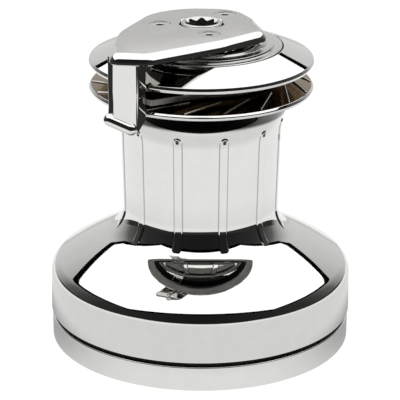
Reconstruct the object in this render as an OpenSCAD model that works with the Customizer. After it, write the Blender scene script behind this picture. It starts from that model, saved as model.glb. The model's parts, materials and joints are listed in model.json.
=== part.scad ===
// Two-speed self-tailing sailboat winch.
// Millimetres, +Z up along the drum's axis, origin at the middle of the base's underside.

/* [Base] */
// Radius of the base plate
base_r = 108; // [106:0.5:114]
// Height of the base plate's rim
base_h = 17.8; // [14:0.1:19]
// Thickness of the base plate's floor
floor_t = 7; // [5:0.5:10]
// Open height between the base plate's rim and the drum's skirt
skirt_gap = 3.3; // [2:0.1:6]
// Diameter of the circle that the deck bolts stand on
deck_pcd = 170; // [160:1:180]
// Diameter of the holes for the deck bolts
deck_hole_d = 8.5; // [6:0.1:11]

/* [Drum] */
// Radius of the skirt at its shoulder
skirt_r = 108.05; // [106:0.05:116]
// Height of the sharp corner between the skirt and the cone
shoulder_z = 55; // [53:0.5:60]
// Rounding of the shoulder
shoulder_round = 12; // [4:0.5:13]
// Wall of the skirt and the cone
skirt_wall = 3.85; // [3:0.05:4.5]
// Radius of the rope barrel at its foot
barrel_r = 54.3; // [53.5:0.1:60]
// Height where the barrel's line meets the cone's line
barrel_z = 83.7; // [80:0.5:95]
// Lean of the barrel's wall, in degrees
barrel_lean = 1.46; // [0:0.01:2.5]
// Rounding between the cone and the barrel
barrel_fillet = 19; // [8:0.5:22]
// Height of the seat that the lower jaw stands on
jaw_seat_z = 182.5; // [175:0.5:200]
// Number of grip ribs round the barrel
rib_n = 11; // [6:1:15]
// Width of a grip rib
rib_w = 6.6; // [4:0.1:9]
// How far a grip rib stands proud of the barrel
rib_proud = 1; // [0.5:0.1:1.5]

/* [Self-tailing jaws] */
// Radius of the jaws at their rims
jaw_r = 79.2; // [76:0.1:79.5]
// Height of a jaw's ribbed face from its rim to its root
jaw_rise = 3.9; // [2:0.1:4]
// Open height between the two rims
jaw_gap = 15.4; // [14.5:0.1:20]
// Number of slanted ribs in a jaw
jaw_rib_n = 18; // [12:1:24]
// Lift of the sprung upper jaw
jaw_lift = 4; // [1:0.5:4]

/* [Arm and cap] */
// Radius of the round part of the cap
cap_r = 44.8; // [43.5:0.1:48]
// Thickness of the cap's plate
cap_t = 7.6; // [6:0.1:9]
// Height of the cap's plate above the retainer's shoulder
cap_lift = 7.3; // [6.5:0.1:10]
// Height of the arm from its toe to the cap's top
arm_h = 57.7; // [50:0.1:60]

/* [Spindle] */
// Side of the square that the winch handle's shank has
handle_square = 17.46; // [17:0.01:18]
// Depth of the handle socket
socket_depth = 45; // [30:1:60]
// Radius of the spindle's head
head_r = 14.5; // [13.9:0.1:15.5]

/* [Gears] */
// Module of all the gear teeth
gear_m = 2; // [1.95:0.01:2]
// Play between the flanks of two meshing teeth
backlash = 0.3; // [0.2:0.05:0.5]
// Height of one level of gears
gear_h = 8.5; // [7:0.1:8.5]
// Running clearance between a shaft and its hole, on the radius
run = 0.05; // [0.02:0.01:0.1]

/* [Hidden] */
$fn = 96;

// ---- Small helpers -------------------------------------------------------------------------

function unit(v) = v / norm(v);
function polar(r, a) = [r * cos(a), r * sin(a)];
function turn(v, a) = [v[0] * cos(a) - v[1] * sin(a), v[0] * sin(a) + v[1] * cos(a)];
function xy(p) = [p[0], p[1]];

// One corner of an outline: [x, y] stays sharp, [x, y, radius] becomes an arc between a and b.
function corner(a, p, b) = len(p) < 3 ? [xy(p)] :
  let (u = unit(xy(a) - xy(p)),
       v = unit(xy(b) - xy(p)),
       half = acos(u * v) / 2,
       middle = xy(p) + unit(u + v) * p[2] / sin(half),
       start = xy(p) + u * p[2] / tan(half) - middle,
       side = cross(u, v) > 0 ? -1 : 1,
       sweep = side * (180 - 2 * half),
       steps = ceil(abs(sweep) / 10))
  [for (i = [0:steps]) middle + turn(start, sweep * i / steps)];

// A closed outline with its corners rounded.
function rounded(p) = [for (i = [0:len(p) - 1])
  each corner(p[(i + len(p) - 1) % len(p)], p[i], p[(i + 1) % len(p)])];

module ring(r_in, r_out, z0, z1) {
  translate([0, 0, z0]) linear_extrude(z1 - z0) difference() {
    circle(r_out);
    circle(r_in);
  }
}

module post(r, z0, z1, at = [0, 0]) {
  translate([at[0], at[1], z0]) cylinder(r = r, h = z1 - z0);
}

// A plain tube that stands at a point.
module bush(r_in, r_out, z0, z1, at = [0, 0]) {
  translate([at[0], at[1], 0]) ring(r_in, r_out, z0, z1);
}

// Copies its children round the axis.
module around(n, first = 0) {
  for (i = [0:n - 1]) rotate(first + i * 360 / n) children();
}

// ---- Gear teeth ----------------------------------------------------------------------------

pressure = 20;
addendum = 0.8;
dedendum = 1.25;

function involute(a) = tan(a) * 180 / PI - a;

// Half the angle that a tooth takes at radius r, with its flanks moved out by grow.
function half_tooth(n, r, grow) =
  let (pitch_r = gear_m * n / 2, base = pitch_r * cos(pressure))
  90 / n + grow / pitch_r * 180 / PI + involute(pressure) - involute(acos(min(1, base / max(r, base))));

// Outline of n teeth with a tooth at angle `first`.
function gear_outline(n, tip, root, grow, first) =
  [for (i = [0:n - 1], side = [-1, 1], k = [0:3])
    let (share = (side < 0 ? k : 3 - k) / 3, r = root + (tip - root) * share)
    polar(r, first + i * 360 / n + side * half_tooth(n, r, grow))];

function pitch_r(n) = gear_m * n / 2;
function tip_r(n) = gear_m * (n / 2 + addendum);

module gear_2d(n, first = 0) {
  polygon(gear_outline(n, tip_r(n), gear_m * (n / 2 - dedendum), -backlash / 4, first));
}

// The hole of an internal gear, with a tooth space at angle 0.
module internal_gear_2d(n) {
  polygon(gear_outline(n, gear_m * (n / 2 + dedendum), gear_m * (n / 2 - addendum), backlash / 4, 0));
}

// ---- Gear train ----------------------------------------------------------------------------

ring_n = 96;
spindle_n = 14;
second_n = 42;
second_pinion_n = 40;
ratchet_n = 30;
idler_n = 16;
drum_pinion_n = 17;

level_gap = 1.5;
low_z = base_h + 2.2;
mid_z = low_z + gear_h + level_gap;
up_z = mid_z + gear_h + level_gap;
up_h = gear_h + 0.5;
flange_z = up_z + up_h + level_gap;

second_at = [-pitch_r(second_n) - pitch_r(spindle_n), 0];
idler_at = [pitch_r(ratchet_n) + pitch_r(idler_n), 0];
drum_pinion_at = [pitch_r(ring_n) - pitch_r(drum_pinion_n), 0];
second_pin_r = 6;
small_pin_r = 4.5;
washer_t = 0.6;
washer_gap = 0.2;

// ---- Pawls and ratchets --------------------------------------------------------------------

carrier_r = 19.5;
pawl_pivot_r = 15.6;
pawl_w = 4;
pawl_l = 10.5;
pawl_heel_r = 2.5;
pawl_swing = 18;
pawl_h = 5.4;
ratchet_h = 6;
ratchet_tip_r = 21.2;
ratchet_deep_r = 23.7;
ratchet_flat = 2;
pawl_side_gap = 0.3;
leaf_t = 0.4;
leaf_gap = 0.3;
first_ratchet_n = 12;
second_ratchet_n = 15;

// The pawl's nose, seen from the carrier's middle, with the pawl swung out by a.
function nose(a) = [pawl_pivot_r, 0] + turn([pawl_w / 2, pawl_l], -a);
function angle_of(p) = atan2(p[1], p[0]);
// Swing at which the nose reaches the tips of the ratchet's teeth.
tip_swing = 5.2;
face_gap = 1.3;
tip_angle = angle_of(nose(tip_swing)) + face_gap;
deep_angle = angle_of(nose(pawl_swing)) + face_gap - 2;

// ---- Heights -------------------------------------------------------------------------------

skirt_z = base_h + skirt_gap;
flange_t = 5.5;
flange_top = flange_z + flange_t;
flange_r = 88;
washer_h = 3;
drum_foot_z = flange_top + washer_h + run;
jaw_bottom_lip = jaw_seat_z + 3.7;
jaw_top_lip = jaw_seat_z + 7;
upper_lip_z = jaw_top_lip + jaw_gap;
root_low_z = jaw_top_lip + jaw_rise;
root_up_z = upper_lip_z - jaw_rise;
hub_top_z = upper_lip_z + 8.1;
shoulder_top_z = hub_top_z + 4.7;
retainer_top_z = shoulder_top_z + 3.8;
stem_top_z = hub_top_z + 4;
plate_z = shoulder_top_z + cap_lift;
plate_top_z = plate_z + cap_t;
head_top_z = plate_top_z + 1.1;

stem_r = 40;
roller_r = 4;
bearing_r = stem_r + roller_r;
bore_r = stem_r + 2 * roller_r;
hub_r = 51.5;
seat_inner_r = skirt_r - skirt_wall;
key_w = 6;
key_r = 53;
key_gap = 0.4;
collet_z = hub_top_z - 5.5;
collet_h = 3;
lip_r = 42;

// ---- Base ----------------------------------------------------------------------------------

wall_in_r = 98;
// The rim reaches out far enough to carry the seal under the skirt.
rim_r = max(base_r, seat_inner_r + 3);
boss_r = 10;
pillar_r = 9;
pillar_at_r = 70;
pillar_angles = [60, 120, 240, 300];
deck_n = 6;
pin_seat = 3;
base_bush_r = 12;
spindle_foot_r = 9;
base_boss_z = 16;
stem_screw_r = 4;

// A countersink that opens downwards at z 0.
module countersink(r, head) {
  translate([0, 0, -0.01]) cylinder(r1 = head, r2 = r, h = head - r + 0.01);
}

module base_plate() {
  color("gainsboro") difference() {
    union() {
      rotate_extrude() polygon(rounded([[0, 0], [rim_r, 0, 0.6], [rim_r, base_h, 0.8],
        [wall_in_r, base_h, 0.8], [wall_in_r, floor_t, 3], [0, floor_t]]));
      post(15, floor_t - 1, base_boss_z);
      post(boss_r, floor_t - 1, low_z - washer_t - washer_gap, second_at);
      post(boss_r - 2, floor_t - 1, mid_z - washer_t - washer_gap, idler_at);
      post(boss_r - 2, floor_t - 1, mid_z - washer_t - washer_gap, drum_pinion_at);
    }
    post(base_bush_r, floor_t, base_boss_z + 1);
    post(second_pin_r, floor_t - pin_seat, low_z, second_at);
    post(small_pin_r, floor_t - pin_seat, mid_z, idler_at);
    post(small_pin_r, floor_t - pin_seat, mid_z, drum_pinion_at);
    around(deck_n, 180 / deck_n) translate([deck_pcd / 2, 0, 0]) {
      post(deck_hole_d / 2, -1, floor_t + 1);
      translate([0, 0, floor_t]) mirror([0, 0, 1]) countersink(deck_hole_d / 2, deck_hole_d);
    }
    for (a = pillar_angles) rotate(a) translate([pillar_at_r, 0, 0]) {
      post(stem_screw_r, -1, floor_t + 1);
      countersink(stem_screw_r, 2 * stem_screw_r);
    }
  }
}

// Black ring that closes the gap under the drum's skirt.
module skirt_seal() {
  color("black") rotate_extrude() polygon(rounded([[seat_inner_r - 3, base_h],
    [seat_inner_r + 1.3, base_h], [seat_inner_r + 1.3, skirt_z - 0.8, 0.6],
    [seat_inner_r - 3, skirt_z - 0.8, 0.6]]));
}

screw_depth = 16;

module stem_screws() {
  color("silver") for (a = pillar_angles) rotate(a) translate([pillar_at_r, 0, 0]) difference() {
    union() {
      translate([0, 0, 0.3]) cylinder(r1 = 2 * stem_screw_r - 0.3, r2 = stem_screw_r, h = stem_screw_r - 0.3);
      post(stem_screw_r, stem_screw_r - 0.1, floor_t + screw_depth);
    }
    translate([0, 0, -0.1]) cylinder(r = 2.9, h = 3.1, $fn = 6);
  }
}

// ---- Stem ----------------------------------------------------------------------------------

lower_bush_r = 16;
spindle_mid_r = 12;
upper_bush_r = head_r + 3.5;
stem_in_r = 32;
stem_floor_z = flange_z + 11.5;
stem_head_z = stem_top_z - 27;
cap_screw_at_r = 29.2;
cap_screw_angles = [55.5, 186, 280.5];
cap_screw_r = 4;
cap_screw_head_r = 7.3;
cap_screw_depth = 18;
circlip_z = collet_z - 46.5;

module centre_stem() {
  color("lightgray") difference() {
    union() {
      rotate_extrude() polygon(rounded([[lower_bush_r, flange_z], [flange_r, flange_z, 1],
        [flange_r, flange_top, 1], [stem_r, flange_top], [stem_r, stem_top_z, 0.8],
        [upper_bush_r, stem_top_z], [upper_bush_r, stem_head_z], [stem_in_r, stem_head_z, 3],
        [stem_in_r, stem_floor_z, 4], [lower_bush_r, stem_floor_z]]));
      for (a = pillar_angles) rotate(a) post(pillar_r, floor_t, flange_z + 1, [pillar_at_r, 0]);
    }
    for (a = pillar_angles) rotate(a) post(stem_screw_r, 0, floor_t + screw_depth, [pillar_at_r, 0]);
    for (a = cap_screw_angles) rotate(a)
      post(cap_screw_r, stem_top_z - cap_screw_depth, stem_top_z + 1, [cap_screw_at_r, 0]);
    post(second_pin_r, flange_z - 1, flange_top - 1, second_at);
    post(small_pin_r, flange_z - 1, flange_top - 1, idler_at);
    post(small_pin_r, flange_z - 1, flange_top - 1, drum_pinion_at);
    ring(stem_r - 2, stem_r + 1, circlip_z, circlip_z + 1.6);
    ring(stem_r - 2.5, stem_r + 1, collet_z, collet_z + collet_h);
  }
}

module second_speed_pin() {
  color("silver") post(second_pin_r, floor_t - pin_seat, flange_top - 1, second_at);
}

module idler_pin() {
  color("silver") post(small_pin_r, floor_t - pin_seat, flange_top - 1, idler_at);
}

module first_speed_pin() {
  color("silver") post(small_pin_r, floor_t - pin_seat, flange_top - 1, drum_pinion_at);
}

// Bronze thrust washers under and over the three loose gears.
module gear_washers() {
  color("peru") {
    bush(second_pin_r, boss_r, low_z - washer_t - washer_gap, low_z - washer_gap, second_at);
    for (at = [idler_at, drum_pinion_at])
      bush(small_pin_r, boss_r - 2, mid_z - washer_t - washer_gap, mid_z - washer_gap, at);
    bush(second_pin_r, boss_r, flange_z - level_gap + washer_gap, flange_z, second_at);
    bush(small_pin_r, boss_r - 2, flange_z - level_gap + washer_gap, flange_z, drum_pinion_at);
  }
}

module base_bush() {
  color("peru") bush(spindle_foot_r + run, base_bush_r, floor_t, base_boss_z);
}

module lower_spindle_bush() {
  color("peru") bush(spindle_mid_r + run, lower_bush_r, flange_z, stem_floor_z);
}

module upper_spindle_bush() {
  color("peru") bush(head_r + run, upper_bush_r, stem_head_z, stem_top_z);
}

module thrust_washer() {
  color("ivory") ring(stem_r + 0.3, bore_r + 5, flange_top, flange_top + washer_h);
}

// ---- Roller bearings -----------------------------------------------------------------------

roller_n = 16;
roller_len = 20;
cage_h = 26;
cage_t = 2.8;
lower_cage_z = drum_foot_z + 1;
upper_cage_z = circlip_z - 1 - cage_h;
pocket_gap = 0.2;

module cage(z) {
  color("dimgray") difference() {
    ring(bearing_r - cage_t / 2, bearing_r + cage_t / 2, z, z + cage_h);
    around(roller_n) post(roller_r + pocket_gap, z + (cage_h - roller_len) / 2 - pocket_gap,
      z + (cage_h + roller_len) / 2 + pocket_gap, [bearing_r, 0]);
  }
}

module rollers(z) {
  color("whitesmoke") around(roller_n)
    post(roller_r - run, z + (cage_h - roller_len) / 2, z + (cage_h + roller_len) / 2, [bearing_r, 0]);
}

module lower_roller_cage() { cage(lower_cage_z); }
module lower_rollers() { rollers(lower_cage_z); }
module upper_roller_cage() { cage(upper_cage_z); }
module upper_rollers() { rollers(upper_cage_z); }

module bearing_spacer() {
  color("ivory") ring(stem_r, stem_r + 3, lower_cage_z + cage_h + 1, upper_cage_z - 1);
}

module bearing_circlip() {
  color("slategray") difference() {
    ring(stem_r - 2, stem_r + 3, circlip_z, circlip_z + 1.6);
    translate([0, -4, circlip_z - 1]) cube([stem_r + 9, 8, 4]);
  }
}

// Two half rings in the stem's groove, which keep the drum from lifting off.
module drum_collets() {
  color("peru") difference() {
    ring(stem_r - 2.5, stem_r + 5.5, collet_z, collet_z + collet_h);
    translate([-stem_r - 9, -0.5, collet_z - 1]) cube([2 * stem_r + 18, 1, collet_h + 2]);
  }
}

// ---- Drum ----------------------------------------------------------------------------------

skirt_flare = 0.65;
cone_share = 0.43721;
cone_bow = 2.812;
cone_round = 240;
flare_z = 167.6 - 182.5;
flare_round = 42;
flare_out = 14.9 * tan(36.9);

barrel_top = [barrel_r + (jaw_seat_z + flare_z - barrel_z) * tan(barrel_lean), jaw_seat_z + flare_z];
seat_r = barrel_top[0] + flare_out;
cone_mid = (1 - cone_share) * [skirt_r, shoulder_z] + cone_share * [barrel_r, barrel_z] + [0, cone_bow];
// The hollow under the cone's foot stays clear of the ring gear.
cone_in_z = max(shoulder_z - 2, up_z + up_h + 4);

module drum_outline() {
  polygon(rounded([
    [seat_inner_r, skirt_z, 0.4], [skirt_r + skirt_flare, skirt_z, 0.8],
    [skirt_r, shoulder_z, shoulder_round], [cone_mid[0], cone_mid[1], cone_round],
    [barrel_r, barrel_z, barrel_fillet], [barrel_top[0], barrel_top[1], flare_round],
    [seat_r, jaw_seat_z], [hub_r, jaw_seat_z], [hub_r, hub_top_z],
    [bore_r, hub_top_z], [bore_r, collet_z - 0.5], [lip_r, collet_z - 0.5, 0.5],
    [lip_r, collet_z - 5.5, 0.5], [bore_r, collet_z - 5.5],
    [bore_r, drum_foot_z, 0.5], [bore_r + 5, drum_foot_z, 0.5],
    [bore_r + 5, barrel_z - 8.5, 5],
    [cone_mid[0] - 2.1, cone_mid[1] - 4.1, 200],
    [seat_inner_r, cone_in_z, 4]]));
}

rib_top_z = jaw_seat_z - 18.5;
rib_foot_z = barrel_z - 4;
rib_cyl_r = rib_w / 2 + 0.4;

// One grip rib: a round bar that leans with the barrel, with a ball at its top.
module grip_rib() {
  translate([barrel_r + rib_proud - rib_cyl_r, 0, barrel_z]) rotate([0, barrel_lean, 0]) {
    post(rib_cyl_r, rib_foot_z - barrel_z, rib_top_z - barrel_z);
    translate([0, 0, rib_top_z - barrel_z]) sphere(rib_cyl_r);
  }
}

dowel_r = 1.5;
dowel_n = 6;
ring_pin_n = 6;

module drum() {
  color("gainsboro") difference() {
    union() {
      rotate_extrude() drum_outline();
      difference() {
        around(rib_n, -90 + 180 / rib_n) grip_rib();
        post(bore_r + 1, barrel_z - 30, jaw_seat_z);
      }
      around(3) translate([hub_r - 1, -key_w / 2, root_up_z + 1])
        cube([key_r - hub_r + 1, key_w, hub_top_z - root_up_z - 1]);
    }
    around(ring_pin_n) post(dowel_r, up_z, up_z + up_h, [seat_inner_r, 0]);
    around(dowel_n) post(dowel_r, jaw_seat_z - 4, jaw_seat_z + 1, [hub_r + 5, 0]);
  }
}

module ring_gear() {
  color("darkgray") difference() {
    translate([0, 0, up_z]) linear_extrude(up_h) difference() {
      circle(seat_inner_r);
      internal_gear_2d(ring_n);
    }
    around(ring_pin_n) post(dowel_r, up_z - 1, up_z + up_h + 1, [seat_inner_r, 0]);
  }
}

module ring_gear_pins() {
  color("silver") around(ring_pin_n) post(dowel_r, up_z, up_z + up_h, [seat_inner_r, 0]);
}

// ---- Jaws ----------------------------------------------------------------------------------

jaw_rib_w = 1.7;
jaw_rib_h = 1.2;
jaw_rib_slant = 47;
jaw_root_r = 57;
jaw_rib_end_r = jaw_r - 2.4;
slide_gap = 0.4;
recess_r = 57.6;
recess_z = root_up_z + 5.5;

// Slanted bars between two radii, seen from above.
module slanted_bars_2d() {
  intersection() {
    around(jaw_rib_n, -98.7) translate([jaw_rib_end_r, 0]) rotate(180 - jaw_rib_slant)
      translate([-4, -jaw_rib_w / 2]) square([34, jaw_rib_w]);
    difference() {
      circle(jaw_rib_end_r);
      circle(jaw_root_r);
    }
  }
}

// Height of a jaw's face above its rim's lip at radius r.
function face_rise(r) = jaw_rise * (jaw_r - 1.6 - r) / (jaw_r - 1.6 - jaw_root_r);

// The ribs of the lower jaw's face; the upper jaw's are the same upside down.
module face_ribs() {
  intersection() {
    linear_extrude(jaw_rise + jaw_rib_h + 2) slanted_bars_2d();
    rotate_extrude() polygon([for (p = [[jaw_rib_end_r + 1, -1], [jaw_rib_end_r + 1, jaw_rib_h],
      [jaw_root_r - 1, jaw_rib_h], [jaw_root_r - 1, -1]]) [p[0], face_rise(p[0]) + p[1]]]);
  }
}

module lower_jaw() {
  color("gainsboro") difference() {
    union() {
      rotate_extrude() polygon(rounded([[hub_r, jaw_seat_z], [seat_r, jaw_seat_z],
        [jaw_r - 1, jaw_bottom_lip - 0.6, 1], [jaw_r + 0.1, jaw_bottom_lip + 1.6, 1.2],
        [jaw_r - 1.2, jaw_top_lip, 0.6], [jaw_root_r, root_low_z, 1], [hub_r, root_low_z]]));
      translate([0, 0, jaw_top_lip]) face_ribs();
    }
    around(dowel_n) post(dowel_r, jaw_seat_z - 1, jaw_seat_z + 4, [hub_r + 5, 0]);
  }
}

module jaw_dowels() {
  color("silver") around(dowel_n) post(dowel_r, jaw_seat_z - 4, jaw_seat_z + 4, [hub_r + 5, 0]);
}

module upper_jaw() {
  color("gainsboro") difference() {
    union() {
      rotate_extrude() polygon(rounded([[hub_r + slide_gap, root_up_z], [jaw_root_r, root_up_z, 1],
        [jaw_r - 1.2, upper_lip_z, 0.6], [jaw_r + 0.1, upper_lip_z + 2.2, 1.2],
        [jaw_r - 0.6, upper_lip_z + 4.4, 0.8], [recess_r + 0.4, shoulder_top_z - 0.2, 0.6],
        [recess_r, shoulder_top_z - 0.8], [recess_r, recess_z], [hub_r + slide_gap, recess_z]]));
      translate([0, 0, upper_lip_z]) mirror([0, 0, 1]) face_ribs();
    }
    around(3) translate([hub_r - 2, -key_w / 2 - key_gap, root_up_z - 1])
      cube([key_r + key_gap - hub_r + 2, key_w + 2 * key_gap, recess_z - root_up_z + 2]);
  }
}

// Stepped ring screwed onto the drum's hub, which the jaw's springs push against.
module jaw_retainer() {
  color("gainsboro") rotate_extrude() polygon(rounded([[lip_r + 0.5, hub_top_z],
    [recess_r - 0.8, hub_top_z], [recess_r - 0.8, shoulder_top_z, 0.8],
    [recess_r - 6, shoulder_top_z + 0.3, 0.5], [recess_r - 6.4, shoulder_top_z + 1.8, 0.5],
    [lip_r + 4.4, shoulder_top_z + 2.2, 1.2], [lip_r + 3.4, retainer_top_z, 0.6],
    [lip_r + 0.5, retainer_top_z, 0.5]]));
}

spring_n = 6;
spring_r = 1.6;
wire_r = 0.28;
spring_at_r = (key_r + recess_r) / 2 - 0.2;
spring_turns = 3;
spring_step = 30;
wire_sides = 6;

// One ring of points of the wire, at angle a of the coil.
function wire_ring(a, z) = [for (k = [0:wire_sides - 1])
  let (b = k * 360 / wire_sides, r = spring_r + wire_r * cos(b))
  [r * cos(a), r * sin(a), z + wire_r * sin(b)]];

module coil_spring(height) {
  last = spring_turns * 360 / spring_step;
  rise = height - 2 * wire_r;
  points = [for (i = [0:last]) each wire_ring(i * spring_step, wire_r + rise * i / last)];
  sides = [for (i = [0:last - 1], k = [0:wire_sides - 1])
    let (j = (k + 1) % wire_sides, a = i * wire_sides, b = a + wire_sides)
    each [[a + k, b + k, b + j], [a + k, b + j, a + j]]];
  ends = [[for (k = [0:wire_sides - 1]) k],
    [for (k = [wire_sides - 1:-1:0]) last * wire_sides + k]];
  polyhedron(points, concat(sides, ends));
}

module jaw_springs() {
  color("silver") around(spring_n, 30) translate([spring_at_r, 0, recess_z])
    coil_spring(hub_top_z - recess_z);
}

// ---- Self-tailing arm, cap and stripper ----------------------------------------------------

arm_clear_r = jaw_r + 1.5;
toe_r = 3.8;
arm_foot_z = plate_top_z - arm_h;

// The arm's outlines are drawn for jaws of this radius, and move out and in with the jaws.
arm_drawn_r = 79.2;
function outward(p) = xy(p) + unit(xy(p)) * (jaw_r - arm_drawn_r);
function arm_corner(p) = len(p) < 3 ? outward(p) : [outward(p)[0], outward(p)[1], p[2]];

// Outline of the cap and arm plate, seen from above.
module plate_2d() {
  circle(cap_r);
  polygon(rounded([[cap_r, 0], [47, -21, 14], [18, -47.5, 60],
    arm_corner([-35, -83.5, 14]), arm_corner([-59, -80.5, 13]), arm_corner([-61.5, -60, 6]),
    [-57.3, -16, 45], polar(cap_r, 165)]));
}

// Section of the arm that hangs outside the jaws.
module arm_2d() {
  difference() {
    polygon(rounded([for (p = [[-30, -74], [-42.6, -78.9, 1.5], [-59.5, -72.2, 2],
      [-63.1, -66.5, 1.5], [-55, -55], [-35, -60]]) arm_corner(p)]));
    circle(arm_clear_r);
    translate(outward([-42.6, -78.9])) rotate(45) translate([0, -20]) square([40, 20]);
  }
}

toe_left = outward([-61.8, -70]);
toe_right = outward([-46.9, -76]);
toe_middle = outward([-52, -74]);

module self_tailing_arm() {
  color("gainsboro") difference() {
    union() {
      translate([0, 0, plate_z]) linear_extrude(cap_t) plate_2d();
      post(lip_r - 4, stem_top_z, plate_z + 1);
      intersection() {
        translate([0, 0, arm_foot_z]) linear_extrude(arm_h - 1) arm_2d();
        translate([toe_middle[0], toe_middle[1], arm_foot_z + 6]) rotate([0, 15, -22])
          translate([-60, -60, 0]) cube(120);
      }
      hull() {
        translate([toe_left[0], toe_left[1], arm_foot_z + toe_r + 4.2]) sphere(toe_r, $fn = 32);
        translate([toe_right[0], toe_right[1], arm_foot_z + toe_r]) sphere(toe_r, $fn = 32);
      }
    }
    post(head_r + 1.1, stem_top_z - 1, plate_top_z + 1);
    for (a = cap_screw_angles) rotate(a) translate([cap_screw_at_r, 0, 0]) {
      post(cap_screw_r, stem_top_z - 1, plate_top_z + 1);
      translate([0, 0, plate_top_z - 0.4]) mirror([0, 0, 1]) countersink(cap_screw_r, cap_screw_head_r);
      post(cap_screw_head_r, plate_top_z - 0.41, plate_top_z + 1);
    }
    difference() {
      post(arm_clear_r, arm_foot_z - 1, plate_z);
      post(lip_r - 4, stem_top_z, plate_z);
    }
  }
}

module cap_screws() {
  head_h = cap_screw_head_r - cap_screw_r;
  color("silver") for (a = cap_screw_angles) rotate(a) translate([cap_screw_at_r, 0, 0]) difference() {
    union() {
      translate([0, 0, plate_top_z - 0.4 - head_h])
        cylinder(r1 = cap_screw_r, r2 = cap_screw_head_r, h = head_h);
      post(cap_screw_r, stem_top_z - cap_screw_depth, plate_top_z - 0.3 - head_h);
    }
    translate([0, 0, plate_top_z - 3.4]) cylinder(r = 2.9, h = 4, $fn = 6);
  }
}

stripper_gap = 0.6;

// Still ring in the bottom of the rope groove, with a tongue that peels the rope out to the arm.
module line_stripper() {
  low = root_low_z + jaw_rib_h + stripper_gap;
  high = root_up_z - jaw_rib_h - stripper_gap;
  color("gray") {
    translate([0, 0, low]) linear_extrude(high - low) difference() {
      union() {
        circle(jaw_root_r - 1.5);
        polygon(rounded([polar(48, -80), polar(jaw_root_r - 2, -84), [-12, -63, 50],
          arm_corner([-33, -75, 2]), polar(arm_clear_r, -118), polar(arm_clear_r, -130), polar(48, -134)]));
      }
      circle(hub_r + 0.7);
    }
  }
}

// ---- Spindle -------------------------------------------------------------------------------

carrier_seat_r = 10;
spindle_neck_z = stem_head_z - 40;
star_tip_r = handle_square / 2 + 2.97;

module star_2d() {
  intersection() {
    for (a = [0, 45]) rotate(a) square(handle_square + 0.2, center = true);
    circle(star_tip_r);
  }
}

module spindle() {
  color("silver") difference() {
    union() {
      post(spindle_foot_r, floor_t + 0.3, mid_z - 0.4);
      post(carrier_seat_r, mid_z - 0.5, mid_z + gear_h + 0.3);
      post(spindle_mid_r, mid_z + gear_h + 0.2, spindle_neck_z + 1);
      rotate_extrude() polygon(rounded([[0, spindle_neck_z], [head_r, spindle_neck_z, 1],
        [head_r, head_top_z, 1.2], [0, head_top_z]]));
    }
    translate([0, 0, head_top_z - socket_depth]) linear_extrude(socket_depth + 1) star_2d();
    ring(spindle_foot_r - 1, spindle_foot_r + 1, low_z - 1.8, low_z - 0.6);
  }
}

module spindle_circlip() {
  color("slategray") difference() {
    ring(spindle_foot_r - 1, spindle_foot_r + 2, low_z - 1.8, low_z - 0.6);
    translate([0, -2, low_z - 3]) cube([spindle_foot_r + 4, 4, 4]);
  }
}

module spindle_gear() {
  color("darkgray") translate([0, 0, low_z]) linear_extrude(gear_h) difference() {
    gear_2d(spindle_n, 180 / spindle_n);
    circle(spindle_foot_r);
  }
}

// A pawl with its nose towards +Y, seen from the carrier's middle, swung out by a.
module pawl_2d(a) {
  translate([pawl_pivot_r, 0]) rotate(-a) {
    circle(pawl_heel_r - run, $fn = 48);
    polygon(rounded([[-pawl_w / 2, 0], [pawl_w / 2, 0], [pawl_w / 2, pawl_l],
      [-pawl_w / 2, pawl_l, 2.5]]));
  }
}

// The pocket that a pawl lies in, with room behind it for its leaf spring.
module pocket_2d() {
  translate([pawl_pivot_r, 0]) {
    circle(pawl_heel_r, $fn = 48);
    translate([-pawl_w / 2 - leaf_t - 2 * leaf_gap, 0]) square([20, pawl_l + 0.8]);
  }
}

// Internal ratchet of n teeth that the pawls of a carrier catch in.
module ratchet_2d(n) {
  polygon([for (i = [0:n - 1]) each [
    polar(ratchet_tip_r, tip_angle + i * 360 / n),
    polar(ratchet_tip_r, tip_angle + ratchet_flat + i * 360 / n),
    polar(ratchet_deep_r, deep_angle + (i + 1) * 360 / n)]]);
}

// The three leaf springs behind the pawls.
module leaves(z) {
  around(3) translate([pawl_pivot_r - pawl_w / 2 - leaf_t - leaf_gap, 1, z + 0.8])
    cube([leaf_t, pawl_l - 1.2, ratchet_h - 1.6]);
}

// A carrier with three pockets in its lowest part, and a full land above them.
module carrier(z, h) {
  translate([0, 0, z]) linear_extrude(ratchet_h) difference() {
    circle(carrier_r);
    around(3) pocket_2d();
  }
  post(carrier_r, z + ratchet_h, z + h);
}

// The first-speed carrier's pawls point the other way round.
module clockwise() { mirror([0, 1, 0]) children(); }

module pawl_carrier() {
  color("dimgray") clockwise() difference() {
    carrier(mid_z, gear_h);
    post(carrier_seat_r, mid_z - 1, mid_z + gear_h + 1);
  }
}

module first_pawl_springs() { color("silver") clockwise() leaves(mid_z); }

module first_pawl(i) {
  color("peru") clockwise() rotate(i * 120) translate([0, 0, mid_z + pawl_side_gap])
    linear_extrude(pawl_h) pawl_2d(pawl_swing);
}

module first_pawl_1() { first_pawl(0); }
module first_pawl_2() { first_pawl(1); }
module first_pawl_3() { first_pawl(2); }

// A gear's body over a carrier: an internal ratchet below and a plain running land above.
module ratchet_body(z, h, n) {
  translate([0, 0, z - 1]) linear_extrude(ratchet_h + 1) ratchet_2d(n);
  post(carrier_r + run, z, z + h + 1);
}

module ratchet_gear() {
  color("darkgray") difference() {
    translate([0, 0, mid_z]) linear_extrude(gear_h) gear_2d(ratchet_n, 180 / ratchet_n);
    clockwise() ratchet_body(mid_z, gear_h, first_ratchet_n);
  }
}

module idler_gear() {
  color("darkgray") translate([idler_at[0], idler_at[1], mid_z]) linear_extrude(gear_h) difference() {
    gear_2d(idler_n);
    circle(small_pin_r + run);
  }
}

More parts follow.
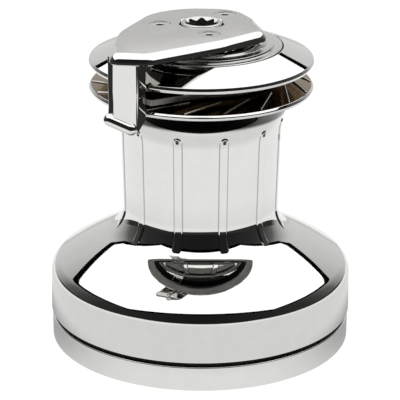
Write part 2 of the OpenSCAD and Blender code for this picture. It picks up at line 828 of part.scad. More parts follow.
module drum_pinion() {
  color("darkgray") translate([drum_pinion_at[0], drum_pinion_at[1], mid_z])
    linear_extrude(up_z + up_h - mid_z) difference() {
      gear_2d(drum_pinion_n);
      circle(small_pin_r + run);
    }
}

module second_speed_gear() {
  color("darkgray") translate([second_at[0], second_at[1], 0]) difference() {
    translate([0, 0, low_z]) linear_extrude(gear_h) gear_2d(second_n);
    ratchet_body(low_z, gear_h, second_ratchet_n);
  }
}

module second_speed_pinion() {
  color("dimgray") translate([second_at[0], second_at[1], 0]) difference() {
    union() {
      carrier(low_z, up_z - low_z + 1);
      translate([0, 0, up_z]) linear_extrude(up_h) gear_2d(second_pinion_n);
    }
    post(second_pin_r + run, low_z - 1, up_z + up_h + 1);
  }
}

module second_pawl_springs() {
  color("silver") translate([second_at[0], second_at[1], 0]) leaves(low_z);
}

module second_pawl(i) {
  color("peru") translate([second_at[0], second_at[1], low_z + pawl_side_gap]) rotate(i * 120)
    linear_extrude(pawl_h) pawl_2d(0);
}

module second_pawl_1() { second_pawl(0); }
module second_pawl_2() { second_pawl(1); }
module second_pawl_3() { second_pawl(2); }

// ---- Drawing -------------------------------------------------------------------------------

base_plate();
skirt_seal();
centre_stem();
stem_screws();
second_speed_pin();
idler_pin();
first_speed_pin();
gear_washers();
base_bush();
lower_spindle_bush();
upper_spindle_bush();
thrust_washer();
bearing_spacer();
bearing_circlip();
drum_collets();
self_tailing_arm();
cap_screws();
line_stripper();
lower_roller_cage();
lower_rollers();
upper_roller_cage();
upper_rollers();
drum();
ring_gear();
ring_gear_pins();
lower_jaw();
jaw_dowels();
jaw_retainer();
upper_jaw();
jaw_springs();
spindle();
spindle_gear();
spindle_circlip();
pawl_carrier();
first_pawl_springs();
first_pawl_1();
first_pawl_2();
first_pawl_3();
ratchet_gear();
idler_gear();
drum_pinion();
second_speed_gear();
second_speed_pinion();
second_pawl_springs();
second_pawl_1();
second_pawl_2();
second_pawl_3();
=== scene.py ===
import json
import math

import bmesh
import bpy
from mathutils import Matrix, Vector

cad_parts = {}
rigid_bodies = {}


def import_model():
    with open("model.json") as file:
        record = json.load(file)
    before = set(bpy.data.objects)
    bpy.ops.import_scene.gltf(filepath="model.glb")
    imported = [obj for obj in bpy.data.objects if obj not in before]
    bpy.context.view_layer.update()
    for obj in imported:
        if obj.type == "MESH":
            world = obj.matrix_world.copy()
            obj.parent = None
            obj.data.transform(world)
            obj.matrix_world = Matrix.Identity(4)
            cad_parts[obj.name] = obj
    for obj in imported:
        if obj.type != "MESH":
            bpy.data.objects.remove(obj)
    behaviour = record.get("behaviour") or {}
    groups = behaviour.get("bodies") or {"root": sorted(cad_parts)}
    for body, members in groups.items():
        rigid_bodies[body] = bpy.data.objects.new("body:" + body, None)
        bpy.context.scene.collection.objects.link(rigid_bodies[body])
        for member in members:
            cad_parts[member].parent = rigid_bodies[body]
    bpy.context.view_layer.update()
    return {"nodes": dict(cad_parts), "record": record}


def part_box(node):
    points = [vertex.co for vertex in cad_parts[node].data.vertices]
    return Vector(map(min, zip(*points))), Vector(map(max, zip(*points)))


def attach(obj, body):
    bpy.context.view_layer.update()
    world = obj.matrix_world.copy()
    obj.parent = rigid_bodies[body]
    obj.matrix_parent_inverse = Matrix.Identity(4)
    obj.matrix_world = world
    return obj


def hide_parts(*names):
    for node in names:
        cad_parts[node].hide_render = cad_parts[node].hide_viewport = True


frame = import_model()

MM = 0.001

# ---------------------------------------------------------------------------------------------
# Places taken from the frame, in millimetres
# ---------------------------------------------------------------------------------------------


def box_mm(node):
    """Lowest and highest corner of a CAD node, in millimetres."""
    low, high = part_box(node)
    return low / MM, high / MM


BASE_R = box_mm("base_plate")[1].x
DRUM_LOW, DRUM_HIGH = box_mm("drum")
SEAT_Z = box_mm("lower_jaw")[0].z
UPPER_JAW_LOW, UPPER_JAW_HIGH = box_mm("upper_jaw")
RETAINER_LOW, RETAINER_HIGH = box_mm("jaw_retainer")
ARM_LOW, ARM_HIGH = box_mm("self_tailing_arm")
SPINDLE_LOW, SPINDLE_HIGH = box_mm("spindle")
SEAL_LOW, SEAL_HIGH = box_mm("skirt_seal")
SCREW_TOP = box_mm("cap_screws")[1].z
STEM_TOP = box_mm("centre_stem")[1].z

BASE_RIM_Z = SEAL_LOW.z
SKIRT_Z = DRUM_LOW.z
PLATE_TOP = ARM_HIGH.z
JAW_R = UPPER_JAW_HIGH.x

# ---------------------------------------------------------------------------------------------
# Sizes of the pieces, in millimetres; a point (radius, height, round) has a rounded corner
# ---------------------------------------------------------------------------------------------

BASE_FLOOR = 7.0
BASE_INNER_R = 98.0
PILLAR_SCREW = (35.0, 60.62)        # place of one of the four screws that hold the stem

SKIRT_R = 108.05
SHOULDER_Z = 55.0
SHOULDER_ROUND = 12.0
CONE_MID = (84.55, 70.36, 240.0)
CONE_INNER_MID = (82.45, 66.26, 100.0)
BARREL_R = 54.3
BARREL_Z = 83.7
BARREL_FILLET = 24.0
BARREL_LEAN = math.tan(math.radians(1.46))
FLARE_Z = 167.6
FLARE_ROUND = 42.0
FLARE_SLOPE = math.tan(math.radians(36.9))
FLARE_R = BARREL_R + (FLARE_Z - BARREL_Z) * BARREL_LEAN
SEAT_R = FLARE_R + (SEAT_Z - FLARE_Z) * FLARE_SLOPE
BORE_R = 48.0
BORE_FOOT = 61.0
COLLET_R = 42.0
COLLET_Z = DRUM_HIGH.z - 6.0
HUB_R = 51.5
SEAT_INNER_R = SEAL_HIGH.x - 1.3

RIB_COUNT = 11
RIB_WIDTH = 6.4
RIB_PROUD = 0.9
RIB_TOP = 163.0
RIB_FOOT = 84.0
RIB_REACH = 0.66                    # share of a rib's width that gets the close columns, each way
DIMPLE_R = 1.7

JAW_RIB_COUNT = 18
JAW_RIB_LENGTH = 30.0
JAW_RIB_R = 1.05
JAW_RIB_SLANT = 47                  # degrees off the radius
JAW_RIB_FIRST = -98.7               # degrees
JAW_ROOT_R = 57.0
JAW_RISE = 3.9

CAP_R = 44.8
CAP_BACK = 40.0
CAP_EDGE = [(24, 38.5, 24), (40, 5, 60), (47, -21, 14), (18, -47.5, 60), (-35, -83.5, 14), (-60.8, -81, 7),
            (-62.4, -58, 14), (-56.5, -22, 60)]
PLATE_THICK = 7.6
BEVEL_DROP = 4.7
BOSS_R = 38.0
SCREW_ANGLES = (55.5, 186, 280.5)   # degrees
SCREW_AT_R = 29.2
SCREW_HEAD_R = 7.3
SPINDLE_HEAD_R = 14.5

ARM_CLEAR = JAW_R + 1.5             # nothing of the arm comes closer to the axis beside the jaws
LEG = [(-36.4, -72.4, 0.8), (-42.6, -78.9, 1.6), (-59.5, -72.2, 1.6), (-63.1, -66.5, 1.6), (-56.5, -58.6, 1.0)]
LEG_KNEE = 206.0                    # the scoop in the leg's inner side starts here
LEG_SCOOP = 15.0
LEG_WAIST = 0.35
GUSSET = [(-42.8, -78.6, 1.0), (-33.0, -69.5, 1.5), (-37.0, -62.0), (-55.0, -62.0)]
TOE_LEFT = Vector((-61.4, -70.2, ARM_LOW.z + 9.0))
TOE_RIGHT = Vector((-46.9, -76.4, ARM_LOW.z + 4.6))
TOE_R = 4.5
OUT = Vector((math.cos(math.radians(-111.5)), math.sin(math.radians(-111.5))))
ALONG = Vector((-OUT.y, OUT.x))

STAR_HALF = 8.83                    # half the side of each square of the handle socket
STAR_TIP = 11.7
STAR_DEPTH = 45.0

# ---------------------------------------------------------------------------------------------
# Mesh making
# ---------------------------------------------------------------------------------------------


def fillet(points, step=3.0):
    """Closed outline with rounded corners: (x, y) stays sharp, (x, y, radius) becomes an arc with a
    point every `step` degrees."""
    out = []
    count = len(points)
    for i, point in enumerate(points):
        here = Vector(point[:2])
        if len(point) < 3:
            out.append(here)
            continue
        to_last = (Vector(points[i - 1][:2]) - here).normalized()
        to_next = (Vector(points[(i + 1) % count][:2]) - here).normalized()
        half = to_last.angle(to_next) / 2
        centre = here + (to_last + to_next).normalized() * (point[2] / math.sin(half))
        start = here + to_last * (point[2] / math.tan(half)) - centre
        turn = math.pi - 2 * half
        if to_last.x * to_next.y - to_last.y * to_next.x > 0:
            turn = -turn
        steps = max(2, math.ceil(abs(math.degrees(turn)) / step))
        for k in range(steps + 1):
            angle = turn * k / steps
            out.append(centre + Vector((start.x * math.cos(angle) - start.y * math.sin(angle),
                                        start.x * math.sin(angle) + start.y * math.cos(angle))))
    return out


def finish_mesh(name, bm, sharp=30.0):
    """Turns a bmesh in millimetres into a smooth-shaded object with crisp corners."""
    bmesh.ops.remove_doubles(bm, verts=bm.verts, dist=1e-5)
    bmesh.ops.recalc_face_normals(bm, faces=bm.faces)
    bmesh.ops.scale(bm, vec=(MM, MM, MM), verts=bm.verts)
    mesh = bpy.data.meshes.new(name)
    bm.to_mesh(mesh)
    bm.free()
    mesh.shade_smooth()
    mesh.set_sharp_from_angle(angle=math.radians(sharp))
    thing = bpy.data.objects.new(name, mesh)
    bpy.context.scene.collection.objects.link(thing)
    return thing


def even_angles(count):
    return [2 * math.pi * i / count for i in range(count)]


def polar(radius, angle):
    return Vector((radius * math.cos(angle), radius * math.sin(angle)))


def lathe(name, outline, angles, sharp=30.0):
    """Turned piece: a closed outline of (radius, height) swept once round the axis."""
    bm = bmesh.new()
    columns = []
    for angle in angles:
        columns.append([bm.verts.new((r * math.cos(angle), r * math.sin(angle), z)) for r, z in outline])
    rows = len(outline)
    for i, column in enumerate(columns):
        after = columns[(i + 1) % len(columns)]
        for k in range(rows):
            up = (k + 1) % rows
            on_axis = [outline[k][0] < 1e-6, outline[up][0] < 1e-6]
            ring = [column[k], column[up], after[up], after[k]]
            if all(on_axis):
                continue
            if on_axis[0]:
                ring = ring[:3]
            elif on_axis[1]:
                ring = [ring[0], ring[1], ring[3]]
            bm.faces.new(ring)
    return finish_mesh(name, bm, sharp)


def bridge(bm, rings):
    """Walls between rings of vertices, one quad per side."""
    for a, b in zip(rings, rings[1:]):
        for i in range(len(a)):
            k = (i + 1) % len(a)
            bm.faces.new([a[i], a[k], b[k], b[i]])


def prism(name, outline, low, high):
    """Upright prism over an outline."""
    bm = bmesh.new()
    rings = [[bm.verts.new((x, y, z)) for x, y in outline] for z in (low, high)]
    for ring in rings:
        bm.faces.new(ring)
    bridge(bm, rings)
    return finish_mesh(name, bm)


def bake_mesh(piece):
    """The plain mesh that a piece's modifiers give."""
    depsgraph = bpy.context.evaluated_depsgraph_get()
    return bpy.data.meshes.new_from_object(piece.evaluated_get(depsgraph))


def boolean(piece, others, operation, sharp=30.0):
    """Cuts the others out of a piece, or joins them to it, and removes them."""
    for other in others:
        modifier = piece.modifiers.new(operation, "BOOLEAN")
        modifier.operation = operation
        modifier.solver = "EXACT"
        modifier.object = other
    bpy.context.view_layer.update()
    mesh = bake_mesh(piece)
    piece.modifiers.clear()
    old = piece.data
    piece.data = mesh
    bpy.data.meshes.remove(old)
    for other in others:
        bpy.data.objects.remove(other)
    mesh.shade_smooth()
    mesh.set_sharp_from_angle(angle=math.radians(sharp))
    return piece


def even_outline(points, spacing):
    """The same outline with its points about `spacing` apart."""
    out = []
    for i, a in enumerate(points):
        b = points[(i + 1) % len(points)]
        parts = max(1, round((b - a).length / spacing))
        out += [a.lerp(b, k / parts) for k in range(parts)]
    return out


def inset(points, distance):
    """Moves each point of an outline inwards; distance is a number or a function of the point."""
    out = []
    count = len(points)
    area = sum(points[i - 1].x * points[i].y - points[i].x * points[i - 1].y for i in range(count))
    side = 1 if area > 0 else -1
    for i, p in enumerate(points):
        along = (points[(i + 1) % count] - points[i - 1]).normalized()
        inward = Vector((-along.y, along.x)) * side
        amount = distance(p) if callable(distance) else distance
        out.append(p + inward * amount)
    return out


# ---------------------------------------------------------------------------------------------
# Node trees
# ---------------------------------------------------------------------------------------------


def add_node(tree, kind, links=None, **settings):
    """Adds a node, sets its properties, and fills its inputs from values or from other sockets."""
    node = tree.nodes.new(kind)
    for name, value in settings.items():
        setattr(node, name, value)
    for socket, value in (links or {}).items():
        if isinstance(value, bpy.types.NodeSocket):
            tree.links.new(value, node.inputs[socket])
        else:
            node.inputs[socket].default_value = value
    return node


def calc(tree, operation, a, b=0.0):
    return add_node(tree, "ShaderNodeMath", {0: a, 1: b}, operation=operation).outputs[0]


def colour(hex_code):
    """Linear colour from an sRGB hex code such as "c8c8c6"."""
    out = []
    for i in (0, 2, 4):
        part = int(hex_code[i:i + 2], 16) / 255
        out.append(part / 12.92 if part <= 0.04045 else ((part + 0.055) / 1.055) ** 2.4)
    return (*out, 1.0)


def shader(name):
    material = bpy.data.materials.new(name)
    material.use_nodes = True
    tree = material.node_tree
    tree.nodes.clear()
    output = tree.nodes.new("ShaderNodeOutputMaterial")
    principled = tree.nodes.new("ShaderNodeBsdfPrincipled")
    tree.links.new(principled.outputs["BSDF"], output.inputs["Surface"])
    return material, tree, principled


def object_point(tree):
    return add_node(tree, "ShaderNodeTexCoord").outputs["Object"]


def per_mm(size):
    """Texture scale whose features measure about `size` millimetres."""
    return 1.0 / (size * MM)


def noise(tree, point, size, detail):
    """Noise from 0 to 1 with features of about `size` millimetres."""
    return add_node(tree, "ShaderNodeTexNoise",
                    {"Vector": point, "Scale": per_mm(size), "Detail": detail}).outputs["Fac"]


def remap(tree, value, low, high, start=0.0, end=1.0, soft=False):
    """Spreads a value that runs from start to end between two other numbers."""
    return add_node(tree, "ShaderNodeMapRange",
                    {"Value": value, "From Min": start, "From Max": end, "To Min": low, "To Max": high},
                    interpolation_type="SMOOTHSTEP" if soft else "LINEAR").outputs["Result"]


def blend(tree, share, dark, light):
    return add_node(tree, "ShaderNodeMix", {"Factor": share, "A": dark, "B": light},
                    data_type="RGBA").outputs["Result"]


def dress(tree, principled, tint, roughness, height, strength, distance):
    """Joins colour, roughness and surface relief to a shader."""
    tree.links.new(tint, principled.inputs["Base Color"])
    tree.links.new(roughness, principled.inputs["Roughness"])
    bump = add_node(tree, "ShaderNodeBump", {"Height": height, "Strength": strength, "Distance": distance})
    tree.links.new(bump.outputs["Normal"], principled.inputs["Normal"])


def polished_stainless():
    """Cast 316 stainless steel, ground and buffed to a mirror: clear reflections that waver a little
    where the wheel followed the casting, a faint cloudiness from the buffing soap, and painted shade:
    dark metal colour beside the ribs, in their dimples and under the lower jaw (the mesh's "corner" value)."""
    material, tree, principled = shader("mirror_polished_stainless_steel")
    point = object_point(tree)
    waver = noise(tree, point, 26, 1.0)
    haze = noise(tree, point, 9, 4.0)
    tint = blend(tree, haze, colour("e3e2df"), colour("ececea"))
    # painted shade: where the mesh's stored corner value is high, the mirror's colour turns dark grey
    corner = add_node(tree, "ShaderNodeAttribute", attribute_name="corner").outputs["Fac"]
    shaded_tint = blend(tree, corner, tint, colour("4a4846"))
    dress(tree, principled, shaded_tint, remap(tree, haze, 0.015, 0.045), waver, 0.35, 0.00012)
    principled.inputs["Metallic"].default_value = 1.0
    return material


def shaded_jaw_face():
    """Painted shade between the jaws' ribs: stainless steel given a dull, warm brown-grey colour, so
    it mirrors only in soft streaks."""
    material, tree, principled = shader("painted_shade_jaw_face")
    shade_mottle = noise(tree, object_point(tree), 5, 5.0)
    # painted shade: dark, warm brown-grey in place of the mirror's near white
    tint = blend(tree, shade_mottle, colour("6d5a42"), colour("a08c70"))
    dress(tree, principled, tint, remap(tree, shade_mottle, 0.12, 0.26), shade_mottle, 0.15, 0.0001)
    principled.inputs["Metallic"].default_value = 1.0
    return material


def shaded_underside():
    """Painted shade under the lower jaw: dark stainless colour, with painted reflection streaks that run round.
    """
    material, tree, principled = shader("painted_shade_underside")
    split = add_node(tree, "ShaderNodeSeparateXYZ", {0: object_point(tree)}).outputs
    around = calc(tree, "MULTIPLY", calc(tree, "ARCTAN2", split[0], split[1]), 0.006)
    point = add_node(tree, "ShaderNodeCombineXYZ", {0: around, 1: split[2]}).outputs[0]
    painted_streak = noise(tree, point, 1.6, 3.0)
    # painted shade with painted reflection streaks: dark to mid grey in place of the mirror's near white
    tint = blend(tree, painted_streak, colour("4c4b49"), colour("8a8987"))
    dress(tree, principled, tint, remap(tree, painted_streak, 0.10, 0.22), painted_streak, 0.2, 0.00005)
    principled.inputs["Metallic"].default_value = 1.0
    return material


def satin_stainless():
    """Bead-blasted stainless steel on the cap's flat top: even, soft grey, with a very fine grain."""
    material, tree, principled = shader("bead_blasted_stainless_steel")
    point = object_point(tree)
    grain = noise(tree, point, 0.6, 4.0)
    tint = blend(tree, noise(tree, point, 14, 3.0), colour("bdbcba"), colour("c8c7c5"))
    dress(tree, principled, tint, remap(tree, grain, 0.36, 0.46), grain, 0.12, 0.00003)
    principled.inputs["Metallic"].default_value = 1.0
    return material


def machined(name, dark, light, rough, pitch=0.5):
    """Turned, ground or hobbed metal: rings of tool marks `pitch` millimetres apart round the axis,
    which break its shine, and slight stains of oil that change its tint and gloss."""
    material, tree, principled = shader(name)
    point = object_point(tree)
    marks = add_node(tree, "ShaderNodeTexWave",
                     {"Vector": point, "Scale": per_mm(pitch) / 6.283, "Distortion": 1.5, "Detail": 2.0},
                     wave_type="RINGS", rings_direction="Z").outputs["Fac"]
    stain = noise(tree, point, 6, 5.0)
    tint = blend(tree, stain, colour(dark), colour(light))
    dress(tree, principled, tint, remap(tree, stain, rough - 0.07, rough + 0.09), marks, 0.12, 0.00003)
    principled.inputs["Metallic"].default_value = 1.0
    return material


def moulded(name, dark, light, rough, grit):
    """Moulded plastic or rubber: a fine even grain, slightly mottled, with hardly any shine."""
    material, tree, principled = shader(name)
    point = object_point(tree)
    grain = noise(tree, point, grit, 3.0)
    tint = blend(tree, noise(tree, point, 11, 2.0), colour(dark), colour(light))
    dress(tree, principled, tint, remap(tree, grain, rough - 0.06, rough + 0.06), grain, 0.2, 0.00005)
    principled.inputs["IOR"].default_value = 1.5
    return material


POLISHED = polished_stainless()
SATIN = satin_stainless()
SHADED_JAW_FACE = shaded_jaw_face()
SHADED_UNDERSIDE = shaded_underside()
SLOT_MATERIALS = {
    "polished_stainless": POLISHED,
    "turned_stainless": machined("turned_stainless_steel", "c9c8c6", "dededc", 0.16),
    "satin_stainless": machined("ground_stainless_steel_sheet", "8e8b86", "aaa7a1", 0.3, 0.8),
    "cast_aluminium": machined("hard_anodised_cast_aluminium", "7d8083", "939699", 0.45, 1.2),
    "black_rubber": moulded("moulded_nitrile_rubber", "070707", "101010", 0.7, 0.4),
    "bearing_plastic": moulded("moulded_acetal", "16171a", "202124", 0.4, 0.6),
    "bronze": machined("machined_aluminium_bronze", "9a6a38", "b98850", 0.28),
    "spring_steel": machined("drawn_spring_steel", "6e6f74", "85868b", 0.3, 0.2),
    "machined_steel": machined("hobbed_case_hardened_steel", "6f7074", "8b8c90", 0.25, 0.7),
}


def paint(piece, *materials):
    piece.data.materials.clear()
    for material in materials:
        piece.data.materials.append(material)
    return piece


def settle(piece, body, *nodes, slot="polished_stainless"):
    """Puts a finished piece on its body, in place of the CAD nodes it stands for."""
    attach(piece, body)
    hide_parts(*nodes)
    return piece


# ---------------------------------------------------------------------------------------------
# Geometry node groups
# ---------------------------------------------------------------------------------------------


class Rule:
    """A geometry node tree under construction, with named inputs."""

    def __init__(self, name, inputs):
        self.tree = bpy.data.node_groups.new(name, "GeometryNodeTree")
        face = self.tree.interface
        face.new_socket("Geometry", in_out="INPUT", socket_type="NodeSocketGeometry")
        self.ids = {}
        for key, value in inputs.items():
            kind = "NodeSocketInt" if isinstance(value, int) else "NodeSocketFloat"
            if isinstance(value, bpy.types.Material):
                kind = "NodeSocketMaterial"
            self.ids[key] = face.new_socket(key, in_out="INPUT", socket_type=kind).identifier
        face.new_socket("Geometry", in_out="OUTPUT", socket_type="NodeSocketGeometry")
        self.values = inputs
        self.given = self.tree.nodes.new("NodeGroupInput").outputs

    def add(self, kind, links=None, **settings):
        """Adds a node and gives its first output."""
        return add_node(self.tree, kind, links, **settings).outputs[0]

    def calc(self, operation, a, b=0.0):
        return calc(self.tree, operation, a, b)

    def times(self, first, *others):
        """Product of all the values."""
        for other in others:
            first = self.calc("MULTIPLY", first, other)
        return first

    def length(self, a, b):
        """Length of the vector (a, b)."""
        return self.calc("SQRT", self.calc("ADD", self.times(a, a), self.times(b, b)))

    def smooth(self, value, low, high):
        """0 at low, 1 at high, with soft ends."""
        return remap(self.tree, value, 0.0, 1.0, low, high, True)

    def place(self):
        """X, Y and Z of the place, and its distance from the axis."""
        split = add_node(self.tree, "ShaderNodeSeparateXYZ", {0: self.add("GeometryNodeInputPosition")}).outputs
        return split[0], split[1], split[2], self.length(split[0], split[1])

    def apply(self, piece, geometry):
        """Ends the tree, runs it on a piece and leaves a plain mesh."""
        real = self.add("GeometryNodeRealizeInstances", {"Geometry": geometry})
        painted = self.add("GeometryNodeSetMaterial", {"Geometry": real, "Material": self.given["Finish"]})
        output = self.tree.nodes.new("NodeGroupOutput")
        self.tree.links.new(painted, output.inputs[0])
        modifier = piece.modifiers.new(self.tree.name, "NODES")
        modifier.node_group = self.tree
        for key, identifier in self.ids.items():
            modifier[identifier] = self.values[key]
        mesh = bake_mesh(piece)
        piece.modifiers.clear()
        piece.data = mesh
        return piece


# ---------------------------------------------------------------------------------------------
# Base plate and drum
# ---------------------------------------------------------------------------------------------


def turned_cutter(name, at, outline):
    cutter = lathe(name, outline, even_angles(48))
    cutter.data.transform(Matrix.Translation(Vector((at[0], at[1], 0)) * MM))
    return cutter


def base_holes():
    """Cutters for the deck bolts' countersunk holes and the seats of the stem's screws."""
    pattern = next(m for m in frame["record"]["mounts"] if m["name"] == "deck_bolts")["dims"]
    radius = pattern["hole_r_mm"]
    step = 360 / pattern["count"]
    cutters = []
    for i in range(pattern["count"]):
        at = polar(pattern["pcd_mm"] / 2, math.radians(step * (i + 0.5)))
        cutters.append(turned_cutter(f"deck_hole_{i}", at, [
            (0, -1), (radius, -1), (radius, 2.8), (radius * 2, BASE_FLOOR + 0.1), (0, BASE_FLOOR + 0.1)]))
    for sign_x in (-1, 1):
        for sign_y in (-1, 1):
            at = (PILLAR_SCREW[0] * sign_x, PILLAR_SCREW[1] * sign_y)
            cutters.append(turned_cutter(f"screw_hole_{sign_x}_{sign_y}", at, [
                (0, -1), (8.1, -1), (8.1, 0.15), (4.1, 4.1), (4.1, BASE_FLOOR + 1), (0, BASE_FLOOR + 1)]))
    return cutters


def make_base():
    outline = fillet([(0, 0), (BASE_R, 0, 0.9), (BASE_R, BASE_RIM_Z, 0.9), (BASE_INNER_R, BASE_RIM_Z, 0.8),
                      (BASE_INNER_R, BASE_FLOOR, 3), (0, BASE_FLOOR)])
    base = lathe("base_plate_shell", outline, even_angles(288))
    boolean(base, base_holes(), "DIFFERENCE")
    settle(paint(base, POLISHED), "frame", "base_plate")


def drum_outline():
    """Outline of the drum: skirt, bowed cone, leaning barrel, flare and hub, then back down inside."""
    return fillet([
        (SEAT_INNER_R, SKIRT_Z, 0.4), (DRUM_HIGH.x, SKIRT_Z, 0.8), (SKIRT_R, SHOULDER_Z, SHOULDER_ROUND),
        CONE_MID, (BARREL_R, BARREL_Z, BARREL_FILLET), (FLARE_R, FLARE_Z, FLARE_ROUND), (SEAT_R, SEAT_Z),
        (HUB_R, SEAT_Z), (HUB_R, DRUM_HIGH.z), (BORE_R, DRUM_HIGH.z), (BORE_R, COLLET_Z),
        (COLLET_R, COLLET_Z), (COLLET_R, COLLET_Z - 5), (BORE_R, COLLET_Z - 5), (BORE_R, BORE_FOOT, 0.5),
        (BORE_R + 5, BORE_FOOT, 0.5), (BORE_R + 5, BARREL_Z - 8.5, 5), CONE_INNER_MID,
        (SEAT_INNER_R, SHOULDER_Z - 2, 4)], 1.5)


def refine(outline):
    """Splits the long straight stretches of an outline, finely where the ribs end in a dimple."""
    out = []
    for i, a in enumerate(outline):
        b = outline[(i + 1) % len(outline)]
        middle = (a + b) / 2
        by_tip = middle.x > BORE_R + 4 and abs(middle.y - RIB_TOP) < 5
        parts = max(1, math.ceil((b - a).length / (0.35 if by_tip else 3.0)))
        out += [a.lerp(b, k / parts) for k in range(parts)]
    return out


def rib_angles():
    """Columns of the drum's mesh: close together where a rib rises, wide apart between."""
    pitch = 2 * math.pi / RIB_COUNT
    reach = RIB_REACH * RIB_WIDTH / BARREL_R
    close = [reach * (k / 12) for k in range(-12, 13)]
    far = [reach + (pitch - 2 * reach) * k / 8 for k in range(1, 8)]
    first = -math.pi / 2 + pitch / 2
    return [first + i * pitch + offset for i in range(RIB_COUNT) for offset in close + far]


def make_drum():
    """The turned drum, whose barrel a rule gives upright grip ribs with round tops and a dimple."""
    drum = lathe("drum_shell", refine(drum_outline()), rib_angles(), 32)
    rule = Rule("grip_ribs", {"Count": RIB_COUNT, "Width": RIB_WIDTH * MM, "Proud": RIB_PROUD * MM,
                              "Top": RIB_TOP * MM, "Foot": RIB_FOOT * MM, "Dimple Radius": DIMPLE_R * MM,
                              "Inner Radius": (BORE_R + 3) * MM, "Finish": POLISHED})
    given = rule.given
    x, y, z, radius = rule.place()
    turn = rule.calc("DIVIDE", rule.calc("ARCTAN2", x, rule.times(y, -1.0)), 2 * math.pi)
    share = rule.calc("FRACT", rule.times(turn, given["Count"]))
    from_rib = rule.calc("ABSOLUTE", rule.calc("SUBTRACT", share, 0.5))
    across = rule.calc("DIVIDE", rule.times(from_rib, radius, 2 * math.pi), given["Count"])
    over_top = rule.calc("SUBTRACT", z, given["Top"])
    away = rule.length(across, rule.calc("MAXIMUM", over_top, 0.0))
    half = rule.times(given["Width"], 0.5)
    flank = rule.smooth(away, half, rule.times(half, 0.66))
    dimple = rule.smooth(rule.length(across, over_top), given["Dimple Radius"],
                         rule.times(given["Dimple Radius"], 0.4))
    foot = rule.smooth(z, rule.calc("SUBTRACT", given["Foot"], 0.0025), rule.calc("ADD", given["Foot"], 0.003))
    outside = rule.calc("GREATER_THAN", radius, given["Inner Radius"])
    shape = rule.calc("SUBTRACT", flank, rule.times(dimple, 0.6))
    height = rule.times(shape, foot, outside, given["Proud"])
    offset = rule.add("ShaderNodeVectorMath", {0: rule.add("GeometryNodeInputNormal"), "Scale": height},
                      operation="SCALE")
    moved = rule.add("GeometryNodeSetPosition", {"Geometry": given["Geometry"], "Offset": offset})
    # painted shade: thin dark lines just inside each rib's flanks, darkened dimples, and a dark band on the
    # flare under the lower jaw, stored as the corner value that the mirror material darkens by
    beside = rule.calc("ABSOLUTE", rule.calc("SUBTRACT", away, rule.times(half, 0.97)))
    line = rule.times(rule.smooth(beside, 0.00045, 0.0001), rule.smooth(over_top, 0.0005, -0.0015), 0.62)
    marks = rule.times(rule.calc("MAXIMUM", line, dimple), foot)
    shade_under_jaw = rule.smooth(over_top, 0.0075, 0.0105)
    corner = rule.times(rule.calc("MAXIMUM", marks, shade_under_jaw), outside)
    marked = rule.add("GeometryNodeStoreNamedAttribute", {"Geometry": moved, "Name": "corner", "Value": corner},
                      data_type="FLOAT", domain="POINT")
    rule.apply(drum, marked)
    settle(drum, "drum", "drum")


# ---------------------------------------------------------------------------------------------
# Jaws and their retainer
# ---------------------------------------------------------------------------------------------


def jaw_ribs(jaw, lip_z, way):
    """Adds the slanted ribs to a jaw's face; way is 1 for the lower jaw and -1 for the upper one."""
    rule = Rule("jaw_ribs", {"Count": JAW_RIB_COUNT, "Outer Radius": (JAW_R - 2.6) * MM,
                             "Length": JAW_RIB_LENGTH * MM, "Slant": math.radians(JAW_RIB_SLANT),
                             "Lip": lip_z * MM, "Rise": JAW_RISE * MM, "Root Radius": JAW_ROOT_R * MM,
                             "Width": JAW_RIB_R * MM, "Way": float(way), "Finish": POLISHED})
    given = rule.given
    line = rule.add("GeometryNodeCurvePrimitiveLine", {"Direction": (-1, 0, 0), "Length": given["Length"]},
                    mode="DIRECTION")
    line = rule.add("GeometryNodeResampleCurve", {"Curve": line, "Count": 14})
    turned = rule.add("ShaderNodeCombineXYZ", {2: rule.times(given["Slant"], -1.0)})
    out_to = rule.add("ShaderNodeCombineXYZ", {0: given["Outer Radius"]})
    line = rule.add("GeometryNodeTransform", {"Geometry": line, "Translation": out_to, "Rotation": turned})
    radius = rule.place()[3]
    inward = rule.calc("SUBTRACT", given["Outer Radius"], radius)
    span = rule.calc("SUBTRACT", given["Outer Radius"], given["Root Radius"])
    rise = rule.times(rule.calc("DIVIDE", inward, span), given["Rise"], given["Way"])
    up_to = rule.add("ShaderNodeCombineXYZ", {2: rule.calc("ADD", given["Lip"], rise)})
    line = rule.add("GeometryNodeSetPosition", {"Geometry": line, "Offset": up_to})
    inside = rule.calc("LESS_THAN", radius, given["Root Radius"])
    line = rule.add("GeometryNodeDeleteGeometry", {"Geometry": line, "Selection": inside}, domain="POINT")
    section = rule.add("GeometryNodeCurvePrimitiveCircle", {"Resolution": 10, "Radius": given["Width"]},
                       mode="RADIUS")
    rib = rule.add("GeometryNodeCurveToMesh", {"Curve": line, "Profile Curve": section, "Fill Caps": True})
    points = rule.add("GeometryNodePoints", {"Count": given["Count"]})
    step = rule.calc("DIVIDE", 2 * math.pi, given["Count"])
    turn = rule.calc("ADD", rule.times(rule.add("GeometryNodeInputIndex"), step), math.radians(JAW_RIB_FIRST))
    spin = rule.add("ShaderNodeCombineXYZ", {2: turn})
    ribs = rule.add("GeometryNodeInstanceOnPoints", {"Points": points, "Instance": rib, "Rotation": spin})
    ribs = rule.add("GeometryNodeSetShadeSmooth", {"Geometry": ribs})
    ribs = rule.add("GeometryNodeRealizeInstances", {"Geometry": ribs})
    ribs = rule.add("GeometryNodeStoreNamedAttribute", {"Geometry": ribs, "Name": "rib", "Value": True},
                    data_type="BOOLEAN", domain="FACE")
    joined = rule.tree.nodes.new("GeometryNodeJoinGeometry")
    rule.tree.links.new(ribs, joined.inputs[0])
    rule.tree.links.new(given["Geometry"], joined.inputs[0])
    return rule.apply(jaw, joined.outputs[0])


